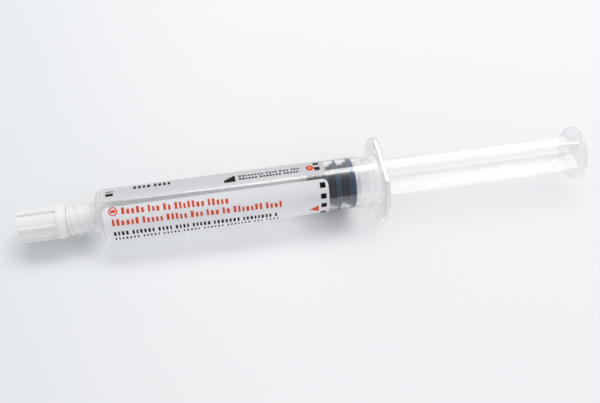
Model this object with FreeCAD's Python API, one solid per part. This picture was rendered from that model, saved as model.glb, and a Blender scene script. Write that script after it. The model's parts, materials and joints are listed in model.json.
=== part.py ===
import FreeCAD, Part
import math
import os

# A prefilled flush syringe with its tip cap on, as it lies on a table: on the lower flat of
# its finger flange and on the front end of the labelled barrel. Sizes are in millimetres.
# Every piece is drawn along the syringe's own axis: x runs from the cap to the thumb press,
# x = 0 is the front face of the finger flange, and z is up. The last step lays it down.

# Rounds at the corners of a section
round_steps = 3

# Barrel
bore_r = 7.05
barrel_wall = 0.95
barrel_length = 85.2          # shoulder face to the flange's front face
shoulder_wall = 1.9           # from the shoulder face to the front end of the bore
shoulder_round = 1.2
seat_depth = 2.0              # the shallow cone inside the shoulder
bead_height = 0.12            # low ring that keeps the stopper in
bead_width = 1.6
bead_set = 1.4                # bead to the flange's front face
mouth_flare = 0.35

# Finger flange, round with two flats
flange_r = 13.4
flange_half_height = 10.6
flange_thickness = 1.45
flange_root_round = 0.8
flange_corner_round = 0.8
flange_edge_bevel = 0.25

# Luer-lock tip
collar_r = 4.5
collar_length = 8.8
collar_floor = 1.2            # solid root of the collar, in front of the shoulder face
lock_bore_r = 4.0             # thread root
tip_end_r = 1.985
tip_taper = 0.03              # growth of the radius for each millimetre, a 6 % taper
tip_proud = 2.1               # tip end in front of the collar
lumen_r = 1.05
edge_bevel = 0.2

# Stopper
stopper_set = 7.4             # stopper's rear face to the flange's front face
stopper_gap = 0.05
rear_rib = 2.1
rear_groove = 2.7
middle_rib = 1.3
front_groove = 2.7
front_rib = 1.5
groove_depth = 0.95
rib_bevel = 0.3
nose_length = 4.8
nose_tip_r = 1.2

# Plunger rod
rod_roll = 4.0                # the rod stands turned by this much about its own axis, degrees
fin_gap = 0.55                # fin tips to the bore
fin_thickness = 1.5
fin_root_thickness = 1.8
fin_tip_round = 0.3
support_gap = 0.45            # support disc to the bore
support_thickness = 1.3
neck_r = 2.4
neck_length = 2.2
head_r = 3.5
head_length = 3.6
head_chamfer = 0.9
socket_gap = 0.05
press_r = 8.6
press_thickness = 1.3
press_edge_bevel = 0.3
press_clear = 2.32            # press to flange when the syringe is empty
stop_gap = 0.3                # stopper nose to its seat when the syringe is empty
ridge_pitch = 1.3
ridge_width = 0.65
ridge_height = 0.35
ridge_slope = 0.15
ridge_margin = 0.5            # ridges end this far inside the press's rim

# Tip cap
cap_gap = 0.4                 # cap's ring to the collar
cap_length = 14.0
ring_length = 2.6
ring_r = 5.15
ring_rim_length = 1.1         # full radius, from the ring's front face to its taper
ring_taper = 0.7              # the ring's radius at its rear face is smaller by this much
grip_r = 4.35
grip_rib_height = 0.7
grip_rib_width = 0.9
grip_rib_count = 6
grip_rib_angle = 43.5         # first rib, from the top towards -y, degrees
grip_rib_bevel = 0.25
grip_rib_lead = 0.4           # slope at the front end of each rib
sleeve_r = 3.35
sleeve_reach = 6.1            # how far the sleeve enters the collar
seal_gap = 0.03
web_gap = 1.0                 # tip end to the cap's inner wall
web_thickness = 1.2
core_r = 3.2

# Label film, wrapped round the barrel with an open strip between its two ends
label_front_margin = 1.9      # shoulder face to the label
label_rear_margin = 16.3      # label to the flange's front face
label_thickness = 0.08
label_air = 0.01
label_gap_from = 3.6          # the open strip, from the top towards -y, degrees
label_gap_to = 15.8
label_corner_r = 1.8

# Saline
liquid_gap = 0.03

# Places that follow from the sizes
barrel_r = bore_r + barrel_wall
shoulder_x = -barrel_length
bore_front_x = shoulder_x + shoulder_wall
seat_x = bore_front_x - seat_depth
collar_front_x = shoulder_x - collar_length
tip_x = collar_front_x - tip_proud
annulus_x = shoulder_x - collar_floor
bead_rear_x = -bead_set
bead_front_x = bead_rear_x - bead_width
stopper_r = bore_r - stopper_gap
groove_r = stopper_r - groove_depth
stopper_rear_x = -stopper_set
stopper_front_x = stopper_rear_x - rear_rib - rear_groove - middle_rib - front_groove - front_rib
nose_x = stopper_front_x - nose_length
travel = nose_x - seat_x - stop_gap
press_x = flange_thickness + travel + press_clear
ring_rear_x = collar_front_x - cap_gap
ring_front_x = ring_rear_x - ring_length
cap_front_x = ring_rear_x - cap_length
grip_tip_r = grip_r + grip_rib_height
label_front_x = shoulder_x + label_front_margin
label_rear_x = -label_rear_margin
label_inner_r = barrel_r + label_air
label_outer_r = label_inner_r + label_thickness

V = FreeCAD.Vector
AXIS = V(1, 0, 0)


def tip_radius(x):
    """Radius of the tapered tip at x."""
    return tip_end_r + (x - tip_x) * tip_taper


def shaped_wire(corners, place):
    """Closed wire through corners (u, v, size). A size above 0 is the radius of a round there,
    drawn in a few straight steps so that the piece stays light; below 0 it is the legs of a
    chamfer. place turns a flat point into a point in space."""
    count = len(corners)
    flat = [V(u, v, 0) for u, v, _ in corners]
    stretches = []
    for i, (_, _, wanted) in enumerate(corners):
        here = flat[i]
        before = flat[i - 1] - here
        after = flat[(i + 1) % count] - here
        if wanted == 0:
            stretches.append([here])
            continue
        half = before.getAngle(after) / 2
        room = 0.49 * min(before.Length, after.Length)
        before.normalize()
        after.normalize()
        if wanted < 0:
            leg = min(-wanted, room)
            stretches.append([here + before * leg, here + after * leg])
            continue
        reach = min(wanted / math.tan(half), room)
        radius = reach * math.tan(half)
        middle = before + after
        middle.normalize()
        centre = here + middle * (radius / math.sin(half))
        start = here + before * reach - centre
        end = here + after * reach - centre
        sweep = start.getAngle(end)
        stretches.append([
            centre + (start * math.sin(sweep * (1 - k / round_steps))
                      + end * math.sin(sweep * k / round_steps)) / math.sin(sweep)
            for k in range(round_steps + 1)])
    points = [place(p) for stretch in stretches for p in stretch]
    return Part.makePolygon(points + points[:1])


def turned(profile):
    """Solid of revolution about the syringe's axis from corners (x, radius, size)."""
    wire = shaped_wire(profile, lambda p: V(p.x, 0, p.y))
    return Part.Face(wire).revolve(V(0, 0, 0), AXIS, 360)


def along_axis(section, x_from, x_to):
    """Solid with a constant section of corners (y, z, size) from x_from to x_to."""
    wire = shaped_wire(section, lambda p: V(x_from, p.x, p.y))
    return Part.Face(wire).extrude(V(x_to - x_from, 0, 0))


def turn_about_axis(shape, degrees):
    """Turn a shape about the syringe's axis, from the top towards -y."""
    copy = shape.copy()
    copy.rotate(V(0, 0, 0), AXIS, degrees)
    return copy


def finger_flange():
    half_chord = math.sqrt(flange_r ** 2 - flange_half_height ** 2)
    right = V(0, half_chord, flange_half_height)
    left = V(0, -half_chord, flange_half_height)
    low_right = V(0, half_chord, -flange_half_height)
    low_left = V(0, -half_chord, -flange_half_height)
    outline = Part.Wire([
        Part.LineSegment(left, right).toShape(),
        Part.Arc(right, V(0, flange_r, 0), low_right).toShape(),
        Part.LineSegment(low_right, low_left).toShape(),
        Part.Arc(low_left, V(0, -flange_r, 0), left).toShape(),
    ])
    plate = Part.Face(outline).extrude(V(flange_thickness, 0, 0))
    corners = [e for e in plate.Edges if abs(e.tangentAt(e.FirstParameter).x) > 0.99]
    plate = plate.makeFillet(flange_corner_round, corners)
    rims = [e for e in plate.Edges if e.BoundBox.XLength < flange_thickness / 2]
    return plate.makeChamfer(flange_edge_bevel, rims)


def barrel():
    tube = turned([
        (tip_x, lumen_r, 0),
        (tip_x, tip_radius(tip_x), -edge_bevel),
        (annulus_x, tip_radius(annulus_x), 0),
        (annulus_x, lock_bore_r, 0),
        (collar_front_x, lock_bore_r, 0),
        (collar_front_x, collar_r, -edge_bevel),
        (shoulder_x, collar_r, 0),
        (shoulder_x, barrel_r, shoulder_round),
        (0, barrel_r, flange_root_round),
        (0, barrel_r + 2 * flange_root_round, 0),
        (flange_thickness, barrel_r + 2 * flange_root_round, 0),
        (flange_thickness, bore_r + mouth_flare, 0),
        (0, bore_r, 0),
        (bead_rear_x, bore_r, 0),
        (bead_rear_x - bead_width / 4, bore_r - bead_height, 0),
        (bead_front_x + bead_width / 4, bore_r - bead_height, 0),
        (bead_front_x, bore_r, 0),
        (bore_front_x, bore_r, 0),
        (seat_x, lumen_r, 0),
    ])
    mouth = Part.makeCylinder(barrel_r, 2 * flange_thickness, V(-flange_thickness / 2, 0, 0), AXIS)
    return tube.fuse(finger_flange().cut(mouth)).removeSplitter()


def stopper():
    rear_groove_x = stopper_rear_x - rear_rib
    middle_rib_x = rear_groove_x - rear_groove
    front_groove_x = middle_rib_x - middle_rib
    front_rib_x = front_groove_x - front_groove
    head_x = stopper_rear_x - neck_length
    floor_x = head_x - head_length - socket_gap
    return turned([
        (nose_x, 0, 0),
        (nose_x, nose_tip_r, -nose_tip_r / 2),
        (stopper_front_x, stopper_r, -rib_bevel),
        (front_rib_x, stopper_r, -rib_bevel),
        (front_rib_x, groove_r, 0),
        (front_groove_x, groove_r, 0),
        (front_groove_x, stopper_r, -rib_bevel),
        (middle_rib_x, stopper_r, -rib_bevel),
        (middle_rib_x, groove_r, 0),
        (rear_groove_x, groove_r, 0),
        (rear_groove_x, stopper_r, -rib_bevel),
        (stopper_rear_x, stopper_r, -rib_bevel),
        (stopper_rear_x, neck_r + socket_gap, 0),
        (head_x + socket_gap, neck_r + socket_gap, 0),
        (head_x + socket_gap, head_r + socket_gap, 0),
        (floor_x + head_chamfer, head_r + socket_gap, 0),
        (floor_x, head_r + socket_gap - head_chamfer, 0),
        (floor_x, 0, 0),
    ])


def rod_core():
    """Stud that snaps into the stopper, support disc behind it and the body of the press."""
    support_r = bore_r - support_gap
    support_front_x = stopper_rear_x + socket_gap
    head_x = stopper_rear_x - neck_length
    stud = turned([
        (head_x - head_length, 0, 0),
        (head_x - head_length, head_r - head_chamfer, 0),
        (head_x - head_length + head_chamfer, head_r, 0),
        (head_x, head_r, 0),
        (head_x, neck_r, 0),
        (support_front_x, neck_r, 0),
        (support_front_x, support_r, -edge_bevel),
        (support_front_x + support_thickness, support_r, -edge_bevel),
        (support_front_x + support_thickness, 0, 0),
    ])
    press = turned([
        (press_x, 0, 0),
        (press_x, press_r, -press_edge_bevel),
        (press_x + press_thickness, press_r, -press_edge_bevel),
        (press_x + press_thickness, 0, 0),
    ])
    return stud, press


def rod_fins():
    """Cross of four fins, thicker at the root than at the tip."""
    reach = bore_r - fin_gap
    tip = fin_thickness / 2
    root = fin_root_thickness / 2
    quarter = [(root, root, fin_tip_round), (tip, reach, fin_tip_round), (-tip, reach, fin_tip_round)]
    section = []
    for step in range(4):
        c, s = [(1, 0), (0, 1), (-1, 0), (0, -1)][step]
        section += [(u * c - v * s, u * s + v * c, r) for u, v, r in quarter]
    start = stopper_rear_x + socket_gap + support_thickness / 2
    return along_axis(section, start, press_x + press_thickness / 2)


def press_ridges():
    """Parallel grip ridges across the back of the press, each as long as the rim leaves room."""
    field_r = press_r - ridge_margin
    back_x = press_x + press_thickness
    half_count = int((field_r - ridge_width) / ridge_pitch)
    ridges = []
    for step in range(-half_count, half_count + 1):
        height = step * ridge_pitch
        far_edge = abs(height) + ridge_width / 2
        half_length = math.sqrt(field_r ** 2 - far_edge ** 2)
        section = [
            (back_x - press_thickness / 2, height - ridge_width / 2, 0),
            (back_x, height - ridge_width / 2, 0),
            (back_x + ridge_height, height - ridge_width / 2 + ridge_slope, 0),
            (back_x + ridge_height, height + ridge_width / 2 - ridge_slope, 0),
            (back_x, height + ridge_width / 2, 0),
            (back_x - press_thickness / 2, height + ridge_width / 2, 0),
        ]
        wire = shaped_wire(section, lambda p: V(p.x, -half_length, p.y))
        ridges.append(Part.Face(wire).extrude(V(0, 2 * half_length, 0)))
    return ridges


def plunger_rod():
    stud, press = rod_core()
    rod = stud.fuse([press, rod_fins()] + press_ridges()).removeSplitter()
    return turn_about_axis(rod, rod_roll)


def tip_cap():
    web_x = tip_x - web_gap
    core_x = web_x - web_thickness
    mouth_x = collar_front_x + sleeve_reach
    shell = turned([
        (cap_front_x, core_r, 0),
        (cap_front_x, grip_r, -edge_bevel),
        (ring_front_x, grip_r, 0),
        (ring_front_x, ring_r, -edge_bevel),
        (ring_front_x + ring_rim_length, ring_r, 0),
        (ring_rear_x, ring_r - ring_taper, 0),
        (ring_rear_x, sleeve_r, 0),
        (mouth_x, sleeve_r, 0),
        (mouth_x, tip_radius(mouth_x) + seal_gap, -edge_bevel),
        (tip_x, tip_radius(tip_x) + seal_gap, 0),
        (web_x, tip_radius(tip_x) + seal_gap, 0),
        (web_x, 0, 0),
        (core_x, 0, 0),
        (core_x, core_r, 0),
    ])
    half = grip_rib_width / 2
    buried = (grip_r + core_r) / 2
    rib = along_axis([
        (-half, buried, 0),
        (half, buried, 0),
        (half, grip_tip_r, -grip_rib_bevel),
        (-half, grip_tip_r, -grip_rib_bevel),
    ], cap_front_x, ring_front_x + edge_bevel)
    front = [
        e for e in rib.Edges
        if e.BoundBox.XMax < cap_front_x + 1e-6 and e.BoundBox.ZMin > grip_r]
    rib = rib.makeChamfer(grip_rib_lead, front)
    ribs = [
        turn_about_axis(rib, grip_rib_angle + 360 * i / grip_rib_count)
        for i in range(grip_rib_count)]
    return shell.fuse(ribs).removeSplitter()


def label():
    """Film on the barrel, with rounded corners at the open strip."""
    edge = [V(label_front_x, 0, label_inner_r), V(label_rear_x, 0, label_inner_r),
            V(label_rear_x, 0, label_outer_r), V(label_front_x, 0, label_outer_r)]
    strip = Part.Face(Part.makePolygon(edge + edge[:1]))
    film = strip.revolve(V(0, 0, 0), AXIS, 360 - (label_gap_to - label_gap_from))
    film = turn_about_axis(film, label_gap_to)
    for x, x_way in ((label_front_x, 1), (label_rear_x, -1)):
        for angle, way in ((label_gap_to, -1), (label_gap_from, 1)):
            block = Part.makeBox(label_corner_r, label_corner_r, 2, V(0, 0, label_outer_r - 1))
            disc = Part.makeCylinder(
                label_corner_r, 4, V(label_corner_r, label_corner_r, label_outer_r - 2))
            corner = block.cut(disc)
            if x_way < 0:
                corner = corner.mirror(V(0, 0, 0), V(1, 0, 0))
            if way < 0:
                corner = corner.mirror(V(0, 0, 0), V(0, 1, 0))
            corner.translate(V(x, 0, 0))
            film = film.cut(turn_about_axis(corner, angle))
    return film


def saline():
    """The fill: bore, seat and lumen in front of the stopper."""
    fill_r = bore_r - liquid_gap
    lumen_fill_r = lumen_r - liquid_gap
    return turned([
        (tip_x, 0, 0),
        (tip_x, lumen_fill_r, 0),
        (seat_x + liquid_gap, lumen_fill_r, 0),
        (bore_front_x + liquid_gap, fill_r, 0),
        (stopper_front_x - liquid_gap, fill_r, 0),
        (nose_x - liquid_gap, nose_tip_r, 0),
        (nose_x - liquid_gap, 0, 0),
    ])


def rest_tilt():
    """Angle at which the first point in front of the flange's lower flat meets the table."""
    supports = [
        (label_front_x, label_outer_r),
        (shoulder_x + shoulder_round, barrel_r),
        (ring_front_x, ring_r),
        (cap_front_x, grip_tip_r),
    ]
    return min(math.atan((flange_half_height - r) / (flange_edge_bevel - x)) for x, r in supports)


def lay_down(pieces):
    """Tilt the pieces to rest, then centre them over the origin with the lowest point at z = 0."""
    tilt = -math.degrees(rest_tilt())
    for shape in pieces.values():
        shape.rotate(V(0, 0, 0), V(0, 1, 0), tilt)
    box = Part.makeCompound(list(pieces.values())).optimalBoundingBox(False, False)
    shift = V(-box.Center.x, -box.Center.y, -box.ZMin)
    for shape in pieces.values():
        shape.translate(shift)
    return shift


pieces = {
    "barrel": barrel(),
    "stopper": stopper(),
    "plunger_rod": plunger_rod(),
    "tip_cap": tip_cap(),
    "label": label(),
    "saline": saline(),
}
shift = lay_down(pieces)

os.makedirs("parts", exist_ok=True)
for name, shape in pieces.items():
    solid = shape.Solids[0]
    print(name, "solids", len(shape.Solids), "valid", shape.isValid(), "volume", round(shape.Volume, 1))
    solid.exportStep("parts/" + name + ".step")
print("tilt", round(math.degrees(rest_tilt()), 4), "travel", round(travel, 3), "press_x", round(press_x, 3))
print("flange front centre at", [round(c, 4) for c in shift])
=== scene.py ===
import json
import math
import random

import bpy
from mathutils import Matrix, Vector


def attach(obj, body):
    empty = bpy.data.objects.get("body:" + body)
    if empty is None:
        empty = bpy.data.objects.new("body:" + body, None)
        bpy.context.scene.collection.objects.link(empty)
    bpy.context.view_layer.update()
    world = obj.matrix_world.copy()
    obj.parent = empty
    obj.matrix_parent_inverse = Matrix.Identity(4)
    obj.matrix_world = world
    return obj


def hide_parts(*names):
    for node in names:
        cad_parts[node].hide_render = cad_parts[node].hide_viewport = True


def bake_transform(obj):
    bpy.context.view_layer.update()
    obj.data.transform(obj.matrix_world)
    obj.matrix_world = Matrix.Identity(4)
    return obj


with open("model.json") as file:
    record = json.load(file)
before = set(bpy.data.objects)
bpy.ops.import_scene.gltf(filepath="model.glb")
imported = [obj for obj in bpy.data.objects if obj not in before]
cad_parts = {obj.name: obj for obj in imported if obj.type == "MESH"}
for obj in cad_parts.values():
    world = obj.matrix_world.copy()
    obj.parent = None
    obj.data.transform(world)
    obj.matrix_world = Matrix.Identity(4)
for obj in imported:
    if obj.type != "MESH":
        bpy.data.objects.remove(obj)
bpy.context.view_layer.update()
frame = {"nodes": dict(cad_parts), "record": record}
print("frame loaded")

# Lengths below are millimetres in the syringe's own frame: x runs from the tip cap to the thumb
# press, x = 0 is the front face of the finger flange. Angles start at the top of the syringe and
# grow towards the camera's side.

random.seed(11)

tipMount = next(m for m in frame["record"]["mounts"] if m["name"] == "luer_tip")
along = -Vector(tipMount["axis"]).normalized()
aside = Vector((0, 1, 0))
upward = along.cross(aside)
tipEnd = -96.1
flangeCentre = Vector(tipMount["pos_m"]) - along * tipEnd / 1000


def lay(x, y, z):  # from the syringe's own frame to the row frame
    return flangeCentre + (along * x + aside * y + upward * z) / 1000


def onRound(x, radius, angle):  # a point on a round surface, angle in radians
    return lay(x, -radius * math.sin(angle), radius * math.cos(angle))


def showPiece(name, data):
    made = bpy.data.objects.new(name, data)
    bpy.context.scene.collection.objects.link(made)
    return made


# Camera, first of all

cameraLook = dict(
    place=(-53.187, -119.452, 186.112), turn=(32.7523, -3.7956, -10.5662), lens=42.9946,
    sensorWidth=36, nearest=0.01)

cameraData = bpy.data.cameras.new("camera")
cameraData.lens = cameraLook["lens"]
cameraData.sensor_width = cameraLook["sensorWidth"]
cameraData.clip_start = cameraLook["nearest"]
camera = showPiece("camera", cameraData)
camera.location = lay(*cameraLook["place"])
camera.rotation_euler = [math.radians(t) for t in cameraLook["turn"]]
bpy.context.scene.camera = camera
print("camera set")


# Shader building

def rgb(red, green, blue):
    return (red, green, blue, 1)


class Wire:  # a socket that can stand in a sum
    def __init__(self, nodes, socket):
        self.nodes = nodes
        self.socket = socket

    def __add__(self, other):
        return self.nodes.maths("ADD", self, other)

    def __radd__(self, other):
        return self.nodes.maths("ADD", other, self)

    def __sub__(self, other):
        return self.nodes.maths("SUBTRACT", self, other)

    def __rsub__(self, other):
        return self.nodes.maths("SUBTRACT", other, self)

    def __mul__(self, other):
        return self.nodes.maths("MULTIPLY", self, other)

    def __rmul__(self, other):
        return self.nodes.maths("MULTIPLY", other, self)


class Nodes:  # the nodes of a material or of the world while they are being made
    def __init__(self, owner, outputKind):
        self.owner = owner
        owner.use_nodes = True
        self.tree = owner.node_tree
        self.tree.nodes.clear()
        self.output = self.tree.nodes.new(outputKind)

    def add(self, kind, settings=None, values=None, out=0):  # settings first, then values and links
        node = self.tree.nodes.new(kind)
        for key, value in (settings or {}).items():
            setattr(node, key, value)
        for key, value in (values or {}).items():
            if isinstance(value, Wire):
                self.tree.links.new(value.socket, node.inputs[key])
            else:
                node.inputs[key].default_value = value
        return Wire(self, node.outputs[out])

    def maths(self, operation, *values, clamp=False):
        settings = dict(operation=operation, use_clamp=clamp)
        return self.add("ShaderNodeMath", settings, dict(enumerate(values)))

    def vector(self, operation, *values, out=0):
        return self.add(
            "ShaderNodeVectorMath", dict(operation=operation), dict(enumerate(values)), out)

    def ray(self, kind):  # 1 for this kind of ray, 0 for the others
        return self.add("ShaderNodeLightPath", out="Is " + kind + " Ray")

    def ramp(self, value, low, high, first=0.0, last=1.0):  # first at low, last at high
        return self.add("ShaderNodeMapRange", dict(interpolation_type="SMOOTHSTEP"), {
            "Value": value, "From Min": low, "From Max": high, "To Min": first, "To Max": last})

    def between(self, factor, first, second):  # number mix
        return self.add("ShaderNodeMix", None, {0: factor, 2: first, 3: second})

    def blend(self, factor, first, second):  # colour mix
        return self.add("ShaderNodeMix", dict(data_type="RGBA"), {0: factor, 6: first, 7: second}, 2)

    def finish(self, shader):
        self.tree.links.new(shader.socket, self.output.inputs["Surface"])
        return self.owner


class Paint(Nodes):  # one material
    def __init__(self, name):
        super().__init__(bpy.data.materials.new(name), "ShaderNodeOutputMaterial")

    def place(self):  # the piece's own coordinates, metres
        return self.add("ShaderNodeTexCoord", out="Object")

    def spot(self):  # from the middle of the flange's front face, metres
        return self.vector("SUBTRACT", self.place(), tuple(flangeCentre))

    def toward(self, way):  # millimetres from there along a direction
        return self.vector("DOT_PRODUCT", self.spot(), tuple(1000 * way), out=1)

    def axial(self):
        return self.toward(along)

    def radial(self):  # millimetres from the syringe's own axis
        across = self.vector("CROSS_PRODUCT", self.spot(), tuple(1000 * along))
        return self.vector("LENGTH", across, out=1)

    def helix(self, pitch, starts):  # 0 to 1 to 0 across each turn of a right-hand thread
        turn = self.maths("ARCTAN2", self.toward(-aside), self.toward(upward))
        phase = self.axial() * (2 * math.pi / pitch) - turn * starts
        return 0.5 - 0.5 * self.maths("COSINE", phase)

    def noise(self, scale, detail, stretch=(1, 1, 1)):
        spot = self.add("ShaderNodeMapping", None, {"Vector": self.place(), "Scale": stretch})
        return self.add("ShaderNodeTexNoise", None, {"Vector": spot, "Scale": scale, "Detail": detail})

    def bump(self, height, strength, distance):
        return self.add("ShaderNodeBump", None, {
            "Height": height, "Strength": strength, "Distance": distance})

    def plastic(self, values):
        return self.add("ShaderNodeBsdfPrincipled", None, values)

    def through(self, colour):  # light that comes out on the other side of a thin wall
        return self.add("ShaderNodeBsdfTranslucent", None, {"Color": colour})

    def passing(self, share):  # lets this share of the light straight through
        return self.add("ShaderNodeBsdfTransparent", None, {"Color": rgb(share, share, share)})

    def mixed(self, factor, first, second):
        return self.add("ShaderNodeMixShader", None, {0: factor, 1: first, 2: second})

    def lit(self, shader, clear, even=0.0):
        # lamp light crosses the surface, so that a clear piece casts a pale shadow, and where even is 1
        # the soft light from the floor does too
        return self.mixed(self.ray("Shadow") + self.ray("Diffuse") * even, shader, clear)


def clearMoulding(name, settings):  # polypropylene: clear where thin, milky where thick
    paint = Paint(name)
    cloud = paint.noise(settings["cloudScale"], detail=4.0)
    flow = paint.noise(settings["flowScale"], detail=2.0, stretch=(0.15, 1, 1))
    x = paint.axial()
    thick = 0.0
    for start, full, most in settings["thickParts"]:
        thick = paint.ramp(x, start, full) * most + thick
    even = 0.0
    for start, full, most in settings["evenParts"]:
        even = paint.ramp(x, start, full) * most + even
    colour = paint.blend(cloud, rgb(*settings["clearest"]), rgb(*settings["cloudiest"]))
    clear = paint.plastic({
        "Base Color": colour,
        "Roughness": settings["roughness"] + settings["roughnessSwing"] * cloud,
        "IOR": settings["ior"],
        "Transmission Weight": 1.0,
        "Coat Weight": paint.ramp(paint.radial(), *settings["glossR"]),
        "Coat Roughness": settings["roughness"],
        "Coat IOR": settings["glossIor"],
        "Normal": paint.bump(flow, settings["flowStrength"], settings["flowDepth"]),
    })
    front = paint.plastic({
        "Base Color": colour,
        "Roughness": settings["milkRoughness"],
        "IOR": settings["ior"],
    })
    milk = paint.mixed(settings["glow"], front, paint.through(colour))
    thinStraight, thinMilk = settings["thinShares"]
    thickStraight, thickMilk = settings["thickShares"]
    straight = thinStraight + (thickStraight - thinStraight) * thick
    body = paint.mixed(straight, clear, paint.passing(1))
    swing = settings["milkSwing"]
    share = (thinMilk + (thickMilk - thinMilk) * thick) * (1 - swing / 2 + swing * cloud)
    if "thread" in settings:
        thread = settings["thread"]
        crest = paint.helix(thread["pitch"], thread["starts"])
        crest = crest * paint.ramp(x, *thread["rearFade"]) * paint.ramp(x, *thread["frontFade"])
        share = share * (1.0 - thread["depth"] * crest)
    thinPassed, thickPassed = settings["passed"]
    passed = paint.mixed(thick, paint.passing(thinPassed), paint.passing(thickPassed))
    return paint.finish(paint.lit(paint.mixed(share, body, milk), passed, even))


def rubber(name, settings):
    paint = Paint(name)
    grain = paint.noise(settings["grainScale"], detail=5.0)
    patch = paint.noise(settings["patchScale"], detail=2.0)
    # painted shade: the rubber is painted nearly black in the grooves and wherever it lies inside the
    # ribs' radius, and keeps its paler blue-grey on the ribs; patch adds a random tone
    crest = paint.ramp(paint.radial(), settings["grooveR"], settings["ribR"])
    worn = (1 - settings["patchShare"] + settings["patchShare"] * patch) * crest
    shader = paint.plastic({
        "Base Color": paint.blend(worn, rgb(*settings["darker"]), rgb(*settings["lighter"])),
        "Roughness": settings["roughness"] + settings["roughnessSwing"] * patch,
        "Specular IOR Level": settings["sheen"],
        "Normal": paint.bump(grain, settings["grainStrength"], settings["grainDepth"]),
    })
    return paint.finish(shader)


def opaqueMoulding(name, settings):  # the cap's white plastic
    paint = Paint(name)
    grain = paint.noise(settings["grainScale"], detail=4.0)
    patch = paint.noise(settings["patchScale"], detail=2.0)
    shader = paint.plastic({
        "Base Color": paint.blend(patch, rgb(*settings["darker"]), rgb(*settings["lighter"])),
        "Roughness": settings["roughness"] + settings["roughnessSwing"] * grain,
        "IOR": settings["ior"],
        "Subsurface Weight": settings["inner"],
        "Subsurface Radius": (settings["innerReach"],) * 3,
        "Subsurface Scale": settings["innerScale"],
        "Normal": paint.bump(grain, settings["grainStrength"], settings["grainDepth"]),
    })
    return paint.finish(shader)


def labelFilm(name, settings):  # thin white film that lets some light through
    paint = Paint(name)
    patch = paint.noise(settings["patchScale"], detail=3.0)
    # painted shade: the film is painted darker on its far side and keeps its paler white towards the
    # camera's side
    near = paint.ramp(paint.toward(-aside), *settings["tone"])
    patchy = 1 - settings["patchShare"] + settings["patchShare"] * patch
    colour = paint.blend(patchy * near, rgb(*settings["darker"]), rgb(*settings["lighter"]))
    front = paint.plastic({
        "Base Color": colour,
        "Roughness": settings["roughness"] + settings["roughnessSwing"] * patch,
        "IOR": settings["ior"],
        "Specular IOR Level": settings["sheen"],
    })
    farGlow, nearGlow = settings["glow"]
    film = paint.mixed(farGlow + (nearGlow - farGlow) * near, front, paint.through(colour))
    film = paint.mixed(settings["clear"], film, paint.passing(1))
    return paint.finish(paint.lit(film, paint.passing(settings["passed"])))


def ink(name, settings):
    paint = Paint(name)
    worn = paint.noise(settings["wornScale"], detail=3.0)
    shader = paint.plastic({
        "Base Color": paint.blend(worn, rgb(*settings["deep"]), rgb(*settings["thin"])),
        "Roughness": settings["roughness"] + settings["roughnessSwing"] * worn,
        "IOR": settings["ior"],
        "Specular IOR Level": settings["sheen"],
    })
    return paint.finish(shader)


def liquid(name, settings):
    paint = Paint(name)
    shader = paint.plastic({
        "Base Color": rgb(*settings["tint"]),
        "Roughness": 0.0,
        "IOR": settings["ior"],
        "Transmission Weight": 1.0,
    })
    return paint.finish(paint.lit(shader, paint.passing(settings["passed"])))


# Mesh building

def smoothStep(share):
    share = max(0.0, min(1.0, share))
    return share * share * (3 - 2 * share)


def eased(corners, steps=5):  # corners (x, radius, round) of an outline become points with round corners
    points = []
    count = len(corners)
    for i, (x, radius, wanted) in enumerate(corners):
        here = Vector((x, radius))
        if wanted == 0:
            points.append((x, radius))
            continue
        before = Vector(corners[i - 1][:2]) - here
        after = Vector(corners[(i + 1) % count][:2]) - here
        half = before.angle(after) / 2
        # a round takes less than half of each side that it joins
        reach = min(wanted / math.tan(half), 0.49 * before.length, 0.49 * after.length)
        bend = reach * math.tan(half)
        before.normalize()
        after.normalize()
        centre = here + (before + after).normalized() * (bend / math.sin(half))
        first = here + before * reach - centre
        last = here + after * reach - centre
        sweep = first.angle(last)
        for k in range(steps + 1):
            near = math.sin(sweep * (1 - k / steps)) / math.sin(sweep)
            far = math.sin(sweep * k / steps) / math.sin(sweep)
            points.append(tuple(centre + first * near + last * far))
    return points


sharpFrom = math.radians(32)  # an edge between two faces is sharp from this angle on


def meshPiece(name, points, faces, material):
    mesh = bpy.data.meshes.new(name)
    mesh.from_pydata(points, [], faces)
    mesh.materials.append(material)
    mesh.shade_smooth()
    mesh.set_sharp_from_angle(angle=sharpFrom)
    mesh.update()
    return showPiece(name, mesh)


def turnedPiece(name, outline, material, steps, loop=False, start=0.0):
    # outline holds (x, radius) points, where a radius may be a function of the angle in radians.
    # Going along the outline the material is on the left-hand side.
    points = []
    rings = []
    for x, radius in outline:
        if radius == 0:
            rings.append([len(points)] * steps)
            points.append(lay(x, 0, 0))
            continue
        ring = []
        for j in range(steps):
            angle = math.radians(start) + 2 * math.pi * j / steps
            ring.append(len(points))
            points.append(onRound(x, radius(angle) if callable(radius) else radius, angle))
        rings.append(ring)
    pairs = list(zip(rings, rings[1:]))
    if loop:
        pairs.append((rings[-1], rings[0]))
    faces = []
    for low, high in pairs:
        for j in range(steps):
            k = (j + 1) % steps
            face = [low[j], low[k], high[k], high[j]]
            faces.append(list(dict.fromkeys(face)))
    return meshPiece(name, points, faces, material)


# Barrel: one moulding with the luer-lock tip in front and the finger flange behind

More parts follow.
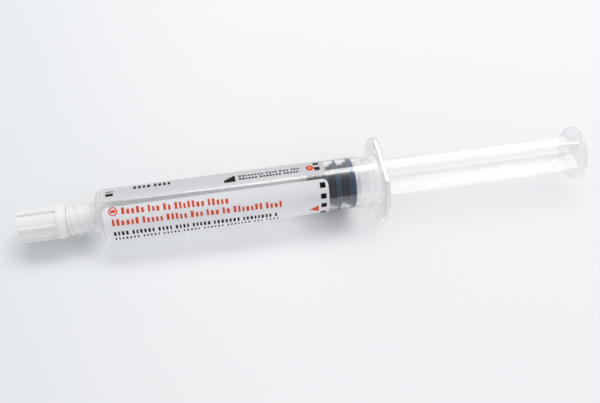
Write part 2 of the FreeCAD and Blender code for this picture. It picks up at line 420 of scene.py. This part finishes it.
barrelSize = dict(
    boreR=7.05, barrelR=8.0, middleX=-40, shoulderX=-85.2, shoulderRound=1.2, boreFrontX=-83.3,
    boreFrontRound=0.5, seatX=-85.3, lumenR=1.05, lumenRound=0.15, tipR=1.985, taper=0.03,
    tipRound=0.25, annulusX=-86.4, annulusRound=0.2,
    collarR=4.5, collarFrontX=-94.0, collarMouthRound=0.12, collarFrontRound=0.2,
    collarRootRound=0.35, threadRootR=4.0, threadDepth=0.5, threadPitch=2.5, threadStarts=2,
    threadMargin=0.3, threadInset=(0.35, 0.5), threadFade=0.8, crestHalf=0.75, crestFlank=0.4,
    threadRings=64,
    beadHeight=0.12, beadFrontX=-3.0, beadRearX=-1.4, beadRound=1.5, beadEdgeRound=0.5,
    mouthFlare=0.35, mouthRound=0.35, flareRound=0.6,
    flangeR=13.4, flangeHalfHeight=10.6, flangeThickness=1.45, flangeRound=0.8, rimRound=0.3,
    rootRound=0.8, faceR=(9.6, 10.1), turnSteps=240)

# thinShares and thickShares hold the shares of straight see-through and of milkiness in thin and in
# thick parts. thickParts and evenParts hold (start x, full x, strength) for every part that is thick
# or that lets the floor's soft light cross. passed holds the shares of lamp light that cross thin
# and thick parts. glossR holds the radii where the gloss of the outer wall begins and is full.
clearPlastic = clearMoulding("clear_polypropylene", dict(
    clearest=(1.0, 1.0, 1.0), cloudiest=(0.975, 0.985, 0.99), cloudScale=220, flowScale=500,
    flowStrength=0.005, flowDepth=0.0001, roughness=0.04, roughnessSwing=0.04, milkRoughness=0.25,
    milkSwing=0.3, ior=1.49, thinShares=(0.0, 0.006), thickShares=(0.4, 0.58),
    thickParts=((-7.2, 0.3, 0.5), (-81.0, -84.5, 1.0)),
    evenParts=((-24, -17, 0.85), (-83, -86, 0.75)),
    passed=(0.95, 0.86), glow=0.2, glossR=(7.4, 7.7), glossIor=1.8,
    thread=dict(rearFade=(-86.2, -86.8), frontFade=(-93.8, -93.2), pitch=barrelSize["threadPitch"],
                starts=barrelSize["threadStarts"], depth=0.2)))


def flangeOutline(angle):  # radius of the flange's edge, a circle with two flats
    size = barrelSize
    side, height = abs(math.sin(angle)), abs(math.cos(angle))
    cornerZ = size["flangeHalfHeight"] - size["flangeRound"]
    cornerY = math.sqrt((size["flangeR"] - size["flangeRound"]) ** 2 - cornerZ ** 2)
    if side * size["flangeHalfHeight"] < cornerY * height:
        return size["flangeHalfHeight"] / height
    middle = side * cornerY + height * cornerZ
    spare = cornerY ** 2 + cornerZ ** 2 - size["flangeRound"] ** 2
    if side * cornerZ < height * cornerY:
        return middle + math.sqrt(middle ** 2 - spare)
    return size["flangeR"]


def flangeRing(radius):  # follows the flange's edge at an even distance
    return lambda angle: flangeOutline(angle) - (barrelSize["flangeR"] - radius)


def threadRing(x):  # inner wall of the collar with its right-hand lock thread
    size = barrelSize
    frontInset, rearInset = size["threadInset"]
    inFrom = (x - size["collarFrontX"] - frontInset) / size["threadFade"]
    inTo = (size["annulusX"] - rearInset - x) / size["threadFade"]
    fade = max(0.0, min(1.0, inFrom, inTo))

    def radius(angle):
        turn = (x / size["threadPitch"] - angle * size["threadStarts"] / (2 * math.pi)) % 1
        offCrest = abs(turn - 0.5) * size["threadPitch"]
        rise = smoothStep((size["crestHalf"] - offCrest) / size["crestFlank"])
        return size["threadRootR"] - size["threadDepth"] * fade * rise
    return radius


def makeBarrel():
    size = barrelSize
    threadRearX = size["annulusX"] - size["threadMargin"]
    threadFrontX = size["collarFrontX"] + size["threadMargin"]
    innerFaceR, outerFaceR = size["faceR"]
    tipRootR = size["tipR"] + size["taper"] * (size["annulusX"] - tipEnd)
    rings = eased([  # lumen, tip and the root of the collar
        (size["seatX"], size["lumenR"], 0),
        (tipEnd, size["lumenR"], size["lumenRound"]),
        (tipEnd, size["tipR"], size["tipRound"]),
        (size["annulusX"], tipRootR, size["annulusRound"]),
        (size["annulusX"], size["threadRootR"], size["annulusRound"]),
        (threadFrontX, size["threadRootR"], 0),
    ])[:-1]
    for k in range(size["threadRings"] + 1):
        x = threadRearX + (threadFrontX - threadRearX) * k / size["threadRings"]
        rings.append((x, threadRing(x)))
    rings += eased([  # collar, shoulder and barrel wall up to the flange
        (threadFrontX, size["threadRootR"], 0),
        (size["collarFrontX"], size["threadRootR"], size["collarMouthRound"]),
        (size["collarFrontX"], size["collarR"], size["collarFrontRound"]),
        (size["shoulderX"], size["collarR"], size["collarRootRound"]),
        (size["shoulderX"], size["barrelR"], size["shoulderRound"]),
        (size["middleX"], size["barrelR"], 0),
        (0, size["barrelR"], size["rootRound"]),
        (0, innerFaceR, 0),
        (0, outerFaceR, 0),
    ], 6)[1:]
    rings += [(x, flangeRing(r)) for x, r in eased([
        (0, outerFaceR, 0),
        (0, size["flangeR"], size["rimRound"]),
        (size["flangeThickness"], size["flangeR"], size["rimRound"]),
        (size["flangeThickness"], outerFaceR, 0),
    ])[1:-1]]
    rings += eased([  # rear face, mouth, bead, bore and the cone in front of it
        (size["flangeThickness"], outerFaceR, 0),
        (size["flangeThickness"], size["boreR"] + size["mouthFlare"], size["mouthRound"]),
        (0, size["boreR"], size["flareRound"]),
        (size["beadRearX"], size["boreR"], size["beadEdgeRound"]),
        ((size["beadRearX"] + size["beadFrontX"]) / 2, size["boreR"] - size["beadHeight"],
         size["beadRound"]),
        (size["beadFrontX"], size["boreR"], size["beadEdgeRound"]),
        (size["middleX"], size["boreR"], 0),
        (size["boreFrontX"], size["boreR"], size["boreFrontRound"]),
        (size["seatX"], size["lumenR"], 0),
    ])[:-1]
    return turnedPiece("barrel_moulding", rings, clearPlastic, size["turnSteps"], loop=True)


barrel = makeBarrel()
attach(barrel, "barrel")
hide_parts("barrel")
print("barrel made")


# Plunger: clear rod with its thumb press, and the ribbed stopper on its stud

rodPlastic = clearMoulding("clear_rod_polypropylene", dict(
    clearest=(1.0, 1.0, 1.0), cloudiest=(0.975, 0.985, 0.99), cloudScale=180, flowScale=400,
    flowStrength=0.003, flowDepth=0.0001, roughness=0.1, roughnessSwing=0.05, milkRoughness=0.25,
    milkSwing=0.3, ior=1.49, thinShares=(0.68, 0.15), thickShares=(0.2, 0.3),
    thickParts=((60, 66, 1.0),), evenParts=((-20, -19, 1.0),), passed=(0.96, 0.94), glow=0.35,
    glossR=(6.4, 6.5), glossIor=1.5))
rod = frame["nodes"]["plunger_rod"]
rod.data.materials.clear()
rod.data.materials.append(rodPlastic)

# ribs hold (front, rear), from the nose backwards
stopperSize = dict(
    noseX=-22.5, noseR=1.2, noseRound=0.9, ribs=((-17.7, -16.2), (-13.5, -12.2), (-9.5, -7.4)),
    ribR=7.06, ribRound=0.35, grooveR=6.05, grooveRound=0.25, neckR=2.45, neckRound=0.2,
    neckX=-9.55, headR=3.55, headBevel=0.9, floorX=-13.25, turnSteps=160)

# darker is a painted shade for the grooves and lighter the rubber's own blue-grey on the ribs; grooveR
# and ribR are the radii where the paler colour begins and is full
stopperRubber = rubber("stopper_rubber", dict(
    darker=(0.001, 0.006, 0.02), lighter=(0.056, 0.091, 0.137), patchScale=250, patchShare=0.3,
    grainScale=4000, grainStrength=0.1, grainDepth=0.00005, roughness=0.38, roughnessSwing=0.15,
    sheen=0.18, grooveR=6.3, ribR=6.95))


def makeStopper():
    size = stopperSize
    outline = [(size["noseX"], 0, 0), (size["noseX"], size["noseR"], size["noseRound"])]
    ribs = size["ribs"]
    for i, (front, rear) in enumerate(ribs):
        outline.append((front, size["ribR"], size["ribRound"]))
        outline.append((rear, size["ribR"], size["ribRound"]))
        if i + 1 < len(ribs):
            outline.append((rear, size["grooveR"], size["grooveRound"]))
            outline.append((ribs[i + 1][0], size["grooveR"], size["grooveRound"]))
    rearX = ribs[-1][1]
    outline += [  # socket for the rod's stud
        (rearX, size["neckR"], size["neckRound"]),
        (size["neckX"], size["neckR"], 0),
        (size["neckX"], size["headR"], 0),
        (size["floorX"] + size["headBevel"], size["headR"], 0),
        (size["floorX"], size["headR"] - size["headBevel"], 0),
        (size["floorX"], 0, 0),
    ]
    return turnedPiece("stopper_ribbed", eased(outline), stopperRubber, size["turnSteps"])


stopper = makeStopper()
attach(stopper, "plunger")
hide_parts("stopper")
print("plunger made")


# Saline: ends are the only rings

salineSize = dict(
    frontX=-96.0, lumenR=1.07, seatX=-85.32, boreFrontX=-83.32, fillR=7.07, ribX=-17.6,
    noseX=-22.4, noseR=1.15, turnSteps=192)
salineClear = liquid("saline_clear", dict(tint=(0.99, 0.995, 1.0), ior=1.333, passed=1.0))


def makeSaline():
    size = salineSize
    outline = [
        (size["frontX"], 0),
        (size["frontX"], size["lumenR"]),
        (size["seatX"], size["lumenR"]),
        (size["boreFrontX"], size["fillR"]),
        (size["ribX"], size["fillR"]),
        (size["noseX"], size["noseR"]),
        (size["noseX"], 0),
    ]
    return turnedPiece("saline_fill", outline, salineClear, size["turnSteps"])


saline = makeSaline()
tuple(lay(-80, 0, 0))
tuple(lay(-24, 0, 0))
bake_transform(saline)
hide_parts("saline")
print("saline made")


# Tip cap: opaque white, six grip ribs, a ring, and a sleeve that seals on the tip

capSize = dict(
    frontX=-108.4, gripR=4.35, edgeRound=0.2, edgeWall=0.3, coreR=3.2, coreX=-98.3, coreFlare=0.15,
    ribHeight=0.7, ribWidth=0.9, ribFlank=0.18, ribFlankOut=0.06, ribLead=0.4, ribCount=6,
    ribAngle=43.5, ribFoot=0.1, ribFootRise=0.04, edgeSteps=4, leadSteps=6,
    ringFrontX=-97.0, ringStep=0.05, ringFrontRound=0.04,
    rimEndX=-95.9, rimRound=0.5, ringRearX=-94.4, ringR=5.15, ringTaper=0.7, ringRearRound=0.12,
    sleeveR=3.35, sleeveRootRound=0.2, sleeveRound=0.3, mouthX=-87.9, mouthRound=0.2,
    webX=-97.1, sealGap=0.03, turnSteps=240)

capPlastic = opaqueMoulding("cap_white_plastic", dict(
    darker=(0.84, 0.84, 0.825), lighter=(0.90, 0.90, 0.885), patchScale=160, grainScale=2500,
    grainStrength=0.08, grainDepth=0.00004, roughness=0.38, roughnessSwing=0.12, ior=1.5,
    inner=0.2, innerReach=0.002, innerScale=0.5))


def gripRing(lift):  # lift 1 is the full height of the ribs, 0 the bare wall
    size = capSize
    step = 360 / size["ribCount"]

    def radius(angle):
        offRib = (math.degrees(angle) - size["ribAngle"] + step / 2) % step - step / 2
        sideways = abs(math.radians(offRib)) * (size["gripR"] + size["ribHeight"])
        foot = size["ribWidth"] / 2 + size["ribFlankOut"]
        rise = smoothStep((foot - sideways) / size["ribFlank"])
        return size["gripR"] + size["ribHeight"] * lift * rise
    return radius


def makeCap():
    size = capSize
    tipR = barrelSize["tipR"]
    mouthR = tipR + barrelSize["taper"] * (size["mouthX"] - tipEnd) + size["sealGap"]
    edgeX = size["frontX"] + size["edgeRound"]
    rings = [
        (size["coreX"], 0),
        (size["coreX"], size["coreR"]),
        (edgeX, size["coreR"]),
        (size["frontX"], size["coreR"] + size["coreFlare"]),
        (size["frontX"], size["gripR"] - size["edgeWall"]),
    ]
    for k in range(size["edgeSteps"] + 1):  # rounded front edge
        turn = math.pi / 2 * k / size["edgeSteps"]
        x = size["frontX"] + size["edgeRound"] * (1 - math.cos(turn))
        rings.append((x, size["gripR"] - size["edgeRound"] * (1 - math.sin(turn))))
    for k in range(1, size["leadSteps"] + 1):  # the ribs rise
        turn = math.pi / 2 * k / size["leadSteps"]
        rings.append((edgeX + size["ribLead"] * (1 - math.cos(turn)), gripRing(math.sin(turn))))
    fullRibs = gripRing(1)
    rings.append((size["ringFrontX"] - size["ribFoot"], fullRibs))
    rings.append((size["ringFrontX"], lambda angle: fullRibs(angle) + size["ribFootRise"]))
    rings += eased([  # ring, sleeve and the taper that takes the tip
        (size["ringFrontX"], size["gripR"] + size["ribHeight"] + size["ringStep"], 0),
        (size["ringFrontX"], size["ringR"], size["ringFrontRound"]),
        (size["rimEndX"], size["ringR"], size["rimRound"]),
        (size["ringRearX"], size["ringR"] - size["ringTaper"], size["ringRearRound"]),
        (size["ringRearX"], size["sleeveR"], size["sleeveRootRound"]),
        (size["mouthX"], size["sleeveR"], size["sleeveRound"]),
        (size["mouthX"], mouthR, size["mouthRound"]),
        (tipEnd, tipR + size["sealGap"], 0),
        (size["webX"], tipR + size["sealGap"], 0),
        (size["webX"], 0, 0),
    ], 6)
    return turnedPiece("tip_cap_ribbed", rings, capPlastic, size["turnSteps"], start=size["ribAngle"])


cap = makeCap()
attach(cap, "cap")
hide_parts("tip_cap")
print("tip cap made")


# Label: film round the barrel with an open strip, and its print as plain generic marks

labelSize = dict(
    frontX=-83.3, rearX=-16.3, radius=8.05, gapFrom=3.6, gapTo=15.8, cornerR=1.8, lift=0.02,
    cornerSteps=8, sweepSteps=160, rows=24)

# tone gives the places, towards the camera's side, where the paler colour begins and is full: the film
# is painted darker on its far side, a painted shade, and keeps its paler white towards the camera's
# side. glow is the share that shines through on the far and on the near side.
film = labelFilm("label_film", dict(
    darker=(0.82, 0.825, 0.845), lighter=(0.98, 0.985, 0.99), tone=(-1.0, 4.0), patchScale=120,
    patchShare=0.15, roughness=0.3, roughnessSwing=0.1, ior=1.45, sheen=0.5, glow=(0.3, 0.2),
    clear=0.06, passed=0.61))


def makeLabel():
    size = labelSize
    cornerR, middle = size["cornerR"], size["sweepSteps"]
    start = math.radians(size["gapTo"])
    sweep = math.radians(360 - size["gapTo"] + size["gapFrom"])
    length = sweep * size["radius"]
    offsets = [cornerR * (1 - math.cos(math.pi / 2 * k / size["cornerSteps"]))
               for k in range(size["cornerSteps"] + 1)]
    columns = offsets + [cornerR + (length - 2 * cornerR) * k / middle for k in range(1, middle)]
    columns += [length - s for s in reversed(offsets)]
    rows = size["rows"]
    points = []
    for s in columns:
        edge = max(0.0, cornerR - min(s, length - s))
        inset = cornerR - math.sqrt(cornerR ** 2 - edge ** 2)
        for k in range(rows + 1):
            x = size["frontX"] + inset + (size["rearX"] - size["frontX"] - 2 * inset) * k / rows
            points.append(onRound(x, size["radius"], start + s / size["radius"]))
    faces = []
    for i in range(len(columns) - 1):
        for k in range(rows):
            low = i * (rows + 1) + k
            high = low + rows + 1
            faces.append([low, high, high + 1, low + 1])
    return meshPiece("label_sheet", points, faces, film)


label = makeLabel()
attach(label, "barrel")
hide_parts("label")

inkRed = ink("ink_red", dict(
    deep=(0.66, 0.05, 0.01), thin=(0.76, 0.09, 0.03), wornScale=900, roughness=0.45,
    roughnessSwing=0.15, ior=1.45, sheen=0.2))
inkBlack = ink("ink_black", dict(
    deep=(0.003, 0.003, 0.005), thin=(0.01, 0.01, 0.013), wornScale=900, roughness=0.45,
    roughnessSwing=0.15, ior=1.45, sheen=0.15))

printStyle = dict(arcStep=4, tallShare=0.25, widthSwing=(0.8, 1.15), discSteps=40)


class Print:  # marks in one colour, gathered into one mesh on the label
    def __init__(self):
        self.points = []
        self.faces = []

    def patch(self, flat):  # flat points (x, degrees)
        first = len(self.points)
        radius = labelSize["radius"] + labelSize["lift"]
        for x, degrees in flat:
            self.points.append(onRound(x, radius, math.radians(degrees)))
        self.faces.append(list(range(first, first + len(flat)))[::-1])

    def block(self, fromX, toX, fromAngle, toAngle, slope=0.0):  # slope in degrees for each mm
        steps = max(1, math.ceil(abs(toAngle - fromAngle) / printStyle["arcStep"]))
        shift = (toX - fromX) * slope
        for k in range(steps):
            low = fromAngle + (toAngle - fromAngle) * k / steps
            high = fromAngle + (toAngle - fromAngle) * (k + 1) / steps
            self.patch([(fromX, low), (toX, low + shift), (toX, high + shift), (fromX, high)])

    def row(self, angle, fromX, toX, slope, height, small, width, gap, wordGap, word):
        # plain letter-sized blocks in word-like groups
        x = fromX
        tall = math.degrees(height / labelSize["radius"])
        while x < toX - width:
            for letter in range(random.randint(*word)):
                base = angle + slope * (x - fromX)
                isTall = letter == 0 or random.random() < printStyle["tallShare"]
                wide = width * random.uniform(*printStyle["widthSwing"])
                self.block(x, x + wide, base - tall * (1.0 if isTall else small), base, slope)
                x += wide + gap
                if x > toX - width:
                    break
            x += wordGap

    def disc(self, x, angle, radius, hole):
        count = printStyle["discSteps"]
        for k in range(count):
            ends = [2 * math.pi * k / count, 2 * math.pi * (k + 1) / count]
            flat = []
            for size, order in ((radius, ends), (hole, ends[::-1])):
                for turn in order:
                    rise = math.degrees(size * math.sin(turn) / labelSize["radius"])
                    flat.append((x + size * math.cos(turn), angle + rise))
            self.patch(flat)

    def piece(self, name, material):
        made = meshPiece(name, self.points, self.faces, material)
        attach(made, "barrel")


# A disc is (x, angle, radius, hole) and a bar (from x, to x, from angle, to angle). A row starts at
# an angle and runs between two x values. Squares hold (from x, to x, half angle, angles). A wedge or
# a stair is made of bars that grow from step to step.
redMarks = dict(
    frontDisc=(-80.2, 26, 1.3, 0.95), bar=(-80.9, -79.5, 23, 29),
    rows=(dict(angle=34, fromX=-77.8, toX=-46.5, slope=0.25),
          dict(angle=57, fromX=-80.9, toX=-29.7, slope=0.17)),
    rowStyle=dict(height=2.0, small=0.74, width=0.75, gap=0.6, wordGap=0.6, word=(2, 8)),
    rearDisc=(-20.9, -17, 1.2, 0.35),
    wedge=dict(count=8, fromX=-22.7, width=0.38, fromAngle=86, toAngle=87, growth=1.3))
blackMarks = dict(
    rows=(dict(angle=84, fromX=-81, toX=-32, slope=0.2, height=1.7, small=1.0, width=0.6,
               gap=0.55, wordGap=0.6, word=(3, 9)),
          dict(angle=103, fromX=-81, toX=-32, slope=0.2, height=1.6, small=1.0, width=0.5,
               gap=0.6, wordGap=0.6, word=(3, 9)),
          dict(angle=-24, fromX=-73.9, toX=-62.3, slope=0, height=1.7, small=1.0, width=0.8,
               gap=0.6, wordGap=0.6, word=(4, 4))),
    smallAngles=(-17, -8),
    smallRow=dict(fromX=-42.6, toX=-23.8, slope=0, height=0.8, small=0.8, width=0.6, gap=0.35,
                  wordGap=0.5, word=(3, 8)),
    stair=dict(count=4, fromX=-47.1, width=0.85, fromAngle=-13, toAngle=-5, growth=3.5),
    squares=((-18.9, -17.2, 6, (29.6, 53.9, 77.6, 107.6)), (-19.6, -17.9, 5, (-30, -12))),
    bars=((-82, -79.8, -18, -10), (-82, -79.8, -26, -23)))


def printRed():
    marks = redMarks
    sheet = Print()
    sheet.disc(*marks["frontDisc"])
    sheet.block(*marks["bar"])
    for row in marks["rows"]:
        sheet.row(**row, **marks["rowStyle"])
    sheet.disc(*marks["rearDisc"])
    wedge = marks["wedge"]
    for step in range(wedge["count"]):
        x = wedge["fromX"] + wedge["width"] * step
        grown = wedge["growth"] * step
        sheet.block(x, x + wedge["width"], wedge["fromAngle"] - grown, wedge["toAngle"] + grown)
    sheet.piece("label_print_red", inkRed)


def printBlack():
    marks = blackMarks
    sheet = Print()
    for row in marks["rows"]:
        sheet.row(**row)
    for angle in marks["smallAngles"]:
        sheet.row(angle, **marks["smallRow"])
    stair = marks["stair"]
    for step in range(stair["count"]):
        x = stair["fromX"] + stair["width"] * step
        grown = stair["growth"] * step
        sheet.block(x, x + stair["width"], stair["fromAngle"] - grown, stair["toAngle"])
    for fromX, toX, half, angles in marks["squares"]:
        for angle in angles:
            sheet.block(fromX, toX, angle - half, angle + half)
    for bar in marks["bars"]:
        sheet.block(*bar)
    sheet.piece("label_print_black", inkBlack)


printRed()
printBlack()
print("label made")


# Floor, sky and light

# seen is the strength that the camera sees. soft and mirror hold (from y, to y, strength at the
# camera's side, strength at the far side): soft is for light, mirror for what smooth surfaces show
skyLook = dict(
    colour=(0.95, 0.955, 1.0), seen=0.88, soft=(-0.7, 0.7, 0.81, 0.47), mirror=(-0.4, 0.6, 0.07, 1.0))

# the left side of the floor is painted a little darker between the two x values of fade, a painted shade
# where the light falls off, and beyond the distances in far the camera sees the sky's colour
floorLook = dict(
    size=6.0, colour=(0.885, 0.897, 0.902), leftShadeColour=(0.758, 0.792, 0.798), fade=(-0.17, 0.0),
    grainScale=60, grainShare=0.05, far=(0.3, 0.9), roughness=0.7, ior=1.3)


def floorPaint(name, settings):
    paint = Paint(name)
    grain = paint.noise(settings["grainScale"], detail=2.0)
    rightward = paint.vector("DOT_PRODUCT", paint.place(), (1.0, 0.0, 0.0), out=1)
    # painted shade: the floor's colour darkens towards its left side; grain adds a little random tone
    tone = paint.ramp(rightward, *settings["fade"]) + settings["grainShare"] * grain
    surface = paint.plastic({
        "Base Color": paint.blend(tone, rgb(*settings["leftShadeColour"]), rgb(*settings["colour"])),
        "Roughness": settings["roughness"],
        "IOR": settings["ior"],
    })
    backdrop = paint.add("ShaderNodeEmission", None, {
        "Color": rgb(*skyLook["colour"]), "Strength": skyLook["seen"]})
    far = paint.ramp(paint.vector("LENGTH", paint.place(), out=1), *settings["far"])
    return paint.finish(paint.mixed(far * paint.ray("Camera"), surface, backdrop))


half = floorLook["size"] / 2
floor = meshPiece(
    "floor", [(-half, -half, 0), (half, -half, 0), (half, half, 0), (-half, half, 0)],
    [(0, 1, 2, 3)], floorPaint("floor_white", floorLook))

sky = Nodes(bpy.data.worlds.new("studio"), "ShaderNodeOutputWorld")
bpy.context.scene.world = sky.owner
direction = sky.add("ShaderNodeTexCoord", out="Generated")
farSide = sky.add("ShaderNodeSeparateXYZ", None, {0: direction}, "Y")
reflected = sky.maths("SUBTRACT", sky.ray("Glossy"), sky.ray("Transmission"), clamp=True)
strength = sky.between(
    reflected, sky.ramp(farSide, *skyLook["soft"]), sky.ramp(farSide, *skyLook["mirror"]))
sky.finish(sky.add("ShaderNodeBackground", None, {
    "Color": rgb(*skyLook["colour"]),
    "Strength": sky.between(sky.ray("Camera"), strength, skyLook["seen"]),
}))

keyLook = dict(
    place=(0.18, 0.46, 0.92), size=(0.95, 0.4), power=5.6, colour=(1.0, 0.995, 0.97))

keyData = bpy.data.lights.new("key", "AREA")
keyData.shape = "RECTANGLE"
keyData.size, keyData.size_y = keyLook["size"]
keyData.energy = keyLook["power"]
keyData.color = keyLook["colour"]
key = showPiece("key", keyData)
key.location = keyLook["place"]
key.rotation_euler = (-Vector(keyLook["place"])).to_track_quat("-Z", "Y").to_euler()

bounces = 24  # enough for the clear walls, one behind another
scene = bpy.context.scene
scene.view_settings.view_transform = "Standard"
scene.cycles.max_bounces = bounces
scene.cycles.transmission_bounces = bounces
scene.cycles.transparent_max_bounces = bounces
print("room made")
